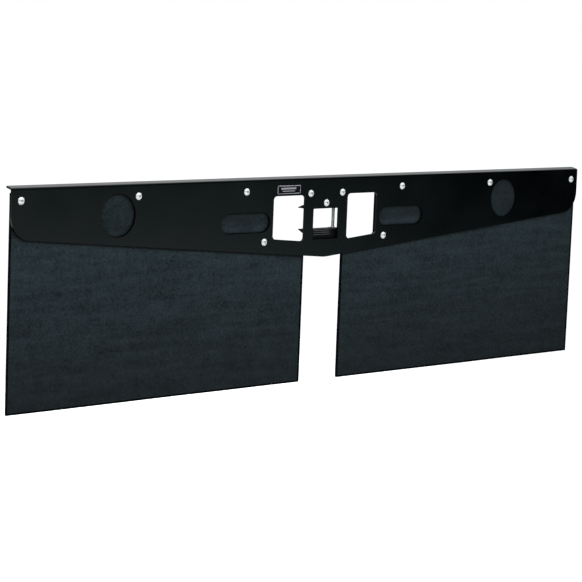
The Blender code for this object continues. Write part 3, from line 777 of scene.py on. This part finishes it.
def with_screw_holes(bm, name):
    """Cuts a round hole through the sheet for each screw that holds it."""
    cutters = bmesh.new()
    for where in SCREW_PLACES:
        made = bmesh.ops.create_cone(
            cutters, cap_ends=True, segments=CUTTER_STEPS, radius1=SCREW_HOLE,
            radius2=SCREW_HOLE, depth=CUTTER_LENGTH,
        )
        middle = centre(f"{name}_{where}_screw")
        turn = Matrix.Translation(middle) @ Matrix.Rotation(math.pi / 2, 4, "X")
        bmesh.ops.transform(cutters, verts=made["verts"], matrix=turn)
    sheet = in_scene("sheet", bm)
    tool = in_scene("drills", cutters)
    cut = sheet.modifiers.new("cut", "BOOLEAN")
    cut.operation = "DIFFERENCE"
    cut.solver = "EXACT"
    cut.object = tool
    made = bmesh.new()
    made.from_object(sheet, bpy.context.evaluated_depsgraph_get())
    for item in (sheet, tool):
        bpy.data.objects.remove(item, do_unlink=True)
    return made


def sheet_block(corners, front, back):
    """A sheet with the outline's shape and slightly rounded arrises."""
    bm = bmesh.new()
    face = bm.faces.new([bm.verts.new((x, front, z)) for x, z in corners])
    made = bmesh.ops.extrude_face_region(bm, geom=[face])
    moved = [item for item in made["geom"] if isinstance(item, bmesh.types.BMVert)]
    bmesh.ops.translate(bm, verts=moved, vec=(0.0, back - front, 0.0))
    bmesh.ops.recalc_face_normals(bm, faces=bm.faces)
    folds = [e for e in bm.edges if e.is_manifold and e.calc_face_angle(0.0) > FOLD_ANGLE]
    rims = [e for e in folds if abs(e.verts[0].co.y - e.verts[1].co.y) < 0.5 * MM]
    bmesh.ops.bevel(
        bm, geom=rims, offset=FLAP_EDGE, offset_type="OFFSET", segments=2, profile=EDGE_PROFILE,
        affect="EDGES",
    )
    return bm


def slice_at(bm, point, normal):
    geometry = bm.verts[:] + bm.edges[:] + bm.faces[:]
    bmesh.ops.bisect_plane(bm, geom=geometry, plane_co=point, plane_no=normal, dist=1e-6)


def slice_for_bending(bm, low, high, hinge, down, foot_z):
    """Cuts the sheet into columns, and into rows along its bend, close together in the bend."""
    columns = round((high.x - low.x) / CELL)
    for index in range(1, columns):
        x = low.x + (high.x - low.x) * index / columns
        slice_at(bm, Vector((x, 0, 0)), Vector((1, 0, 0)))
    fine = [BEND_LENGTH * share / BEND_CELLS for share in range(-2, BEND_CELLS + 1)]
    reach = hinge.z - foot_z + SLICES_PAST_FOOT
    rows = round((reach - BEND_LENGTH) / CELL)
    coarse = [BEND_LENGTH + CELL * step for step in range(1, rows)]
    for distance in (*fine, *coarse, *ABOVE_BEND):
        slice_at(bm, hinge + down * distance, down)


def darker_margins(bm, low, high, foot_z):
    """Slices the sheet's margins off its face, and gives back their faces."""
    slice_at(bm, Vector((low.x + RIM_NEAR, 0, 0)), Vector((1, 0, 0)))
    slice_at(bm, Vector((high.x - RIM_FAR, 0, 0)), Vector((1, 0, 0)))
    slice_at(bm, Vector((0, 0, foot_z + RIM_FOOT)), Vector((0, 0, 1)))
    margins = set()
    for face in bm.faces:
        spot = face.calc_center_median()
        beside = spot.x < low.x + RIM_NEAR or spot.x > high.x - RIM_FAR
        if beside or spot.z < foot_z + RIM_FOOT:
            margins.add(face)
    return margins


def flap(name, side):
    """One sheet of rubber, held behind the plate and free below it."""
    low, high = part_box(f"{name}_flap_upper")
    foot_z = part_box(f"{name}_flap_lower")[0].z
    joint = flap_joint(name)
    hinge = Vector(joint["pos_m"])
    along = Vector(joint["axis"]).normalized()
    down = Vector((0, 1, 0)).cross(along).normalized()
    if down.z > 0:
        down.negate()
    bm = sheet_block(flap_outline(name, side), low.y, high.y)
    slice_for_bending(bm, low, high, hinge, down, foot_z)
    margins = darker_margins(bm, low, high, foot_z)
    for vert in bm.verts:
        x, z = vert.co.x, vert.co.z
        hinge_z = hinge.z + (x - hinge.x) * along.z / along.x
        vert.co.y += droop(x, z, hinge_z, foot_z, WAVE_SEED * side)
    for face in bm.faces:
        skin = abs(face.normal.y) > FACING and face not in margins
        face.material_index = 0 if skin else 1
    bm = with_screw_holes(bm, name)
    nodes = [f"{name}_flap_upper", f"{name}_flap_lower"]
    piece = add_piece(f"{name}_rubber_flap", bm, [RUBBER, RUBBER_EDGE], None, nodes)
    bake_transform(piece)


# Fasteners ------------------------------------------------------------------------------


def spin_for(name):
    """A steady, different turn for each fastener."""
    return random.Random(name).uniform(0.0, math.pi / 3)


def facing_out(spot, turn):
    """Stands a fastener made along +Z on the plate's outer face."""
    stand = Matrix.Translation(spot) @ Matrix.Rotation(math.pi / 2, 4, "X")
    return stand @ Matrix.Rotation(turn, 4, "Z")


def facing_in(spot, turn):
    """Stands a fastener made along +Z on the rear of what it holds."""
    stand = Matrix.Translation(spot) @ Matrix.Rotation(-math.pi / 2, 4, "X")
    return stand @ Matrix.Rotation(turn, 4, "Z")


def stack(name):
    """A screw with its washer and lock nut."""
    low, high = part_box(f"{name}_screw")
    middle = centre(f"{name}_screw")
    bm = button_screw(high.y - low.y - HEAD_HEIGHT)
    seat = (middle.x, low.y + HEAD_HEIGHT, middle.z)
    bm.transform(facing_out(seat, spin_for(name)))
    # The second material is the painted shade in the socket
    steels = [STAINLESS, SOCKET_PAINTED_SHADE]
    add_piece(f"{name}_button_screw", bm, steels, "frame", [f"{name}_screw"])
    low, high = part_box(f"{name}_washer")
    bm = washer((high.x - low.x) / 2, high.y - low.y)
    bm.transform(facing_out((middle.x, high.y, middle.z), 0.0))
    add_piece(f"{name}_flat_washer", bm, [ZINC], "frame", [f"{name}_washer"])
    low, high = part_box(f"{name}_lock_nut")
    bm = lock_nut(high.y - low.y)
    bm.transform(facing_in((middle.x, low.y, middle.z), spin_for(name + "nut")))
    add_piece(f"{name}_nylon_nut", bm, [ZINC, NYLON], "frame", [f"{name}_lock_nut"])


def upright(node, bm):
    """Stands a mesh made along +Z on the lower end of a CAD node."""
    middle = centre(node)
    bm.transform(Matrix.Translation((middle.x, middle.y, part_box(node)[0].z)))
    return bm


def clamp_bolt(length):
    """A hexagon head from z = 0 up, with a plain shank and then a threaded one."""
    head = turned(chamfered_hex(BOLT_HEAD, NUT_WIDTH), HEX_STEPS)
    head.transform(Matrix.Rotation(math.pi, 4, "X") @ Matrix.Translation((0, 0, -BOLT_HEAD)))
    start = BOLT_HEAD - MM
    end = BOLT_HEAD + BOLT_PLAIN
    rows = [(0.0, start), (THREAD_RADIUS, start), (THREAD_RADIUS, end), (0.0, end)]
    shank = turned(rows, THREAD_STEPS)
    rod = thread(length - BOLT_HEAD - BOLT_PLAIN)
    rod.transform(Matrix.Translation((0, 0, end)))
    return joined(head, shank, rod)


def clamp_hardware(name):
    """A clamp bolt with its threads, its two washers and the nut that draws it up."""
    node = f"{name}_clamp_bolt"
    low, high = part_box(node)
    bm = upright(node, clamp_bolt(high.z - low.z))
    add_piece(f"{name}_threaded_bolt", bm, [ZINC], "lower_jaw", [node])
    for kind, body, material, slot in (
        ("seat_washer", "lower_jaw", BLACK_OXIDE, "black_oxide"),
        ("clamp_washer", "frame", ZINC, "zinc"),
    ):
        node = f"{name}_{kind}"
        low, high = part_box(node)
        bm = upright(node, washer((high.x - low.x) / 2, high.z - low.z))
        add_piece(f"{node}_ring", bm, [material], body, [node])
    node = f"{name}_clamp_nut"
    low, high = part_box(node)
    bm = turned(chamfered_hex(high.z - low.z, NUT_WIDTH, CLAMP_BORE), HEX_STEPS)
    add_piece(f"{node}_hexagon", upright(node, bm), [ZINC], node, [node])


def jaws():
    """Both jaws of the clamp. The lower one's front bars get a paler coat as a painted highlight,
    with painted shade towards the clamp bolt.
    """
    shape = from_cad("upper_jaw", JAW_ROUND)
    add_piece("upper_jaw_bracket", shape, [JAW_COAT], "frame", ["upper_jaw"])
    bm = from_cad("lower_jaw", JAW_ROUND)
    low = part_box("lower_jaw")[0]
    # The front bars' faces take the coat with the painted highlight and shade
    for face in bm.faces:
        spot = face.calc_center_median()
        in_window = abs(spot.x) < BARS_HALF and spot.z > low.z + BARS_ABOVE
        in_front = spot.y < low.y + BARS_DEPTH and abs(face.normal.z) < UPWARD
        if in_window and in_front:
            face.material_index = 1
    coats = [JAW_COAT, BAR_COAT_PAINTED_LIGHT]
    add_piece("lower_jaw_bracket", bm, coats, "lower_jaw", ["lower_jaw"])


# Stage, lights and camera ---------------------------------------------------------------


class Room(Tree):
    """The node tree of a new world."""

    def __init__(self):
        world = bpy.data.worlds.new("studio")
        bpy.context.scene.world = world
        world.use_nodes = True
        super().__init__(world.node_tree)
        self.tree.nodes.clear()

    def larger(self, first, second):
        return self.calculate("MAXIMUM", first, second)

    def both(self, first, second):
        return self.calculate("MULTIPLY", first, second)

    def smooth(self, value, *limits):
        return self.span(value, *limits, interpolation="SMOOTHSTEP")

    def light(self, colour=WHITE, strength=1.0):
        node = self.add("ShaderNodeBackground")
        node.inputs["Color"].default_value = colour
        node.inputs["Strength"].default_value = strength
        return node


def mirrored_room(room):
    """How bright the room is in each direction, for what mirrors it."""
    coord = room.add("ShaderNodeTexCoord")
    parts = room.add("ShaderNodeSeparateXYZ")
    room.join(coord.outputs["Generated"], parts.inputs[0])
    x, y, z = parts.outputs
    level = room.calculate("ARCTAN2", x, room.both(y, -1.0))
    across = room.calculate("DIVIDE", level, DEGREE)
    up = room.calculate("DIVIDE", room.calculate("ARCSINE", z), DEGREE)
    off_front = room.calculate("ABSOLUTE", across)
    dark = room.both(room.smooth(across, *QUIET_ACROSS), room.smooth(up, *QUIET_UP))
    behind = room.smooth(off_front, *ROOM_BACK)
    back_above = room.both(room.smooth(up, *BACK_ABOVE), behind)
    above = room.larger(back_above, room.smooth(up, *FRONT_ABOVE))
    ends = room.larger(room.smooth(across, *ROOM_LEFT), room.smooth(across, *ROOM_RIGHT))
    sides = room.both(ends, room.smooth(off_front, *ROOM_REAR))
    below = room.smooth(up, *ROOM_BELOW)
    bright = room.larger(sides, room.larger(above, below))
    return room.larger(dark, bright)


def studio_world():
    """White to the camera. In reflections, a bright room with a dark side to the front right.

    The plate mirrors that side: its upper edge and its right end pick up the darkest part."""
    room = Room()
    value = mirrored_room(room)
    tint = room.add("ShaderNodeMix", data_type="RGBA")
    room.join(room.smooth(value, *ROOM_TINT), tint.inputs["Factor"])
    tint.inputs["A"].default_value = DIM_COLOUR
    tint.inputs["B"].default_value = WHITE
    mirror = room.light()
    room.join(tint.outputs["Result"], mirror.inputs["Color"])
    room.join(value, mirror.inputs["Strength"])
    matt = room.light(ROOM_COLOUR, ROOM_LIGHT)
    seen = room.light()
    path = room.add("ShaderNodeLightPath").outputs
    lit = room.choose(path["Is Glossy Ray"], matt.outputs[0], mirror.outputs[0])
    whole = room.choose(path["Is Camera Ray"], lit, seen.outputs[0])
    out = room.add("ShaderNodeOutputWorld")
    room.join(whole, out.inputs["Surface"])


def floor_material():
    """Pale and even to the camera, plain matt to everything else, and clear from below."""
    material = bpy.data.materials.new("floor_paint")
    material.use_nodes = True
    n = Tree(material.node_tree)
    n.tree.nodes.clear()
    matt = n.add("ShaderNodeBsdfDiffuse")
    matt.inputs["Color"].default_value = FLOOR_COLOUR
    glow = n.add("ShaderNodeEmission")
    glow.inputs["Strength"].default_value = FLOOR_GLOW
    glowing = n.add("ShaderNodeAddShader")
    n.join(matt.outputs[0], glowing.inputs[0])
    n.join(glow.outputs[0], glowing.inputs[1])
    camera_ray = n.add("ShaderNodeLightPath").outputs["Is Camera Ray"]
    top = n.choose(camera_ray, matt.outputs[0], glowing.outputs[0])
    clear = n.add("ShaderNodeBsdfTransparent")
    from_below = n.add("ShaderNodeNewGeometry").outputs["Backfacing"]
    out = n.add("ShaderNodeOutputMaterial")
    n.join(n.choose(from_below, top, clear.outputs[0]), out.inputs["Surface"])
    return material


def floor():
    bm = bmesh.new()
    bmesh.ops.create_grid(bm, x_segments=1, y_segments=1, size=FLOOR_HALF)
    ground = in_scene("floor", bm)
    ground.data.materials.append(floor_material())
    ground.location.z = CAD_BOX[0].z - FLOOR_DROP
    ground.visible_glossy = False


def area_light(name, spot, target, size, power):
    """A soft light that neither the camera nor a reflection sees."""
    data = bpy.data.lights.new(name, "AREA")
    data.shape = "RECTANGLE"
    data.size, data.size_y = size
    data.energy = power
    light = bpy.data.objects.new(name, data)
    light.location = spot
    aim = Vector(target) - Vector(spot)
    light.rotation_euler = aim.to_track_quat("-Z", "Y").to_euler()
    light.visible_glossy = False
    light.visible_camera = False
    bpy.context.scene.collection.objects.link(light)


def lights():
    """A strip softbox above the front, and a fill behind the rubber."""
    low, high = CAD_BOX
    area_light(
        "strip_softbox", (STRIP_X, low.y - STRIP_AHEAD, high.z + STRIP_ABOVE),
        (STRIP_X, 0.0, low.z + STRIP_AIM), STRIP_SIZE, STRIP_POWER,
    )
    middle = (low.z + high.z) / 2
    area_light(
        "rear_fill", (0.0, high.y + FILL_BEHIND, middle), (0.0, 0.0, middle), FILL_SIZE,
        FILL_POWER,
    )


def camera():
    plate_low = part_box("frame_plate")[0]
    aim = Vector((AIM_RIGHT, plate_low.y, plate_low.z - AIM_BELOW_PLATE))
    forward = Vector(
        (
            math.sin(CAMERA_YAW) * math.cos(CAMERA_PITCH),
            math.cos(CAMERA_YAW) * math.cos(CAMERA_PITCH),
            math.sin(CAMERA_PITCH),
        )
    )
    level = Vector((math.cos(CAMERA_YAW), -math.sin(CAMERA_YAW), 0.0))
    up = level.cross(forward)
    right = math.cos(CAMERA_ROLL) * level + math.sin(CAMERA_ROLL) * up
    up = right.cross(forward)
    spot = aim - forward * CAMERA_DISTANCE
    turn = Matrix((right, up, -forward)).transposed().to_4x4()
    data = bpy.data.cameras.new("camera")
    data.lens = LENS
    data.sensor_width = SENSOR_WIDTH
    data.clip_end = FAR_CLIP
    view = bpy.data.objects.new("camera", data)
    view.matrix_world = Matrix.Translation(spot) @ turn
    bpy.context.scene.collection.objects.link(view)
    bpy.context.scene.camera = view


def stage():
    studio_world()
    floor()
    lights()
    camera()
    bpy.context.scene.view_settings.view_transform = "Standard"


def main():
    frame_plate()
    label_plate()
    for name, side in SIDES.items():
        flap(name, side)
        clamp_hardware(name)
    jaws()
    for name in FLAP_STACKS + JAW_STACKS:
        stack(name)
    stage()


main()
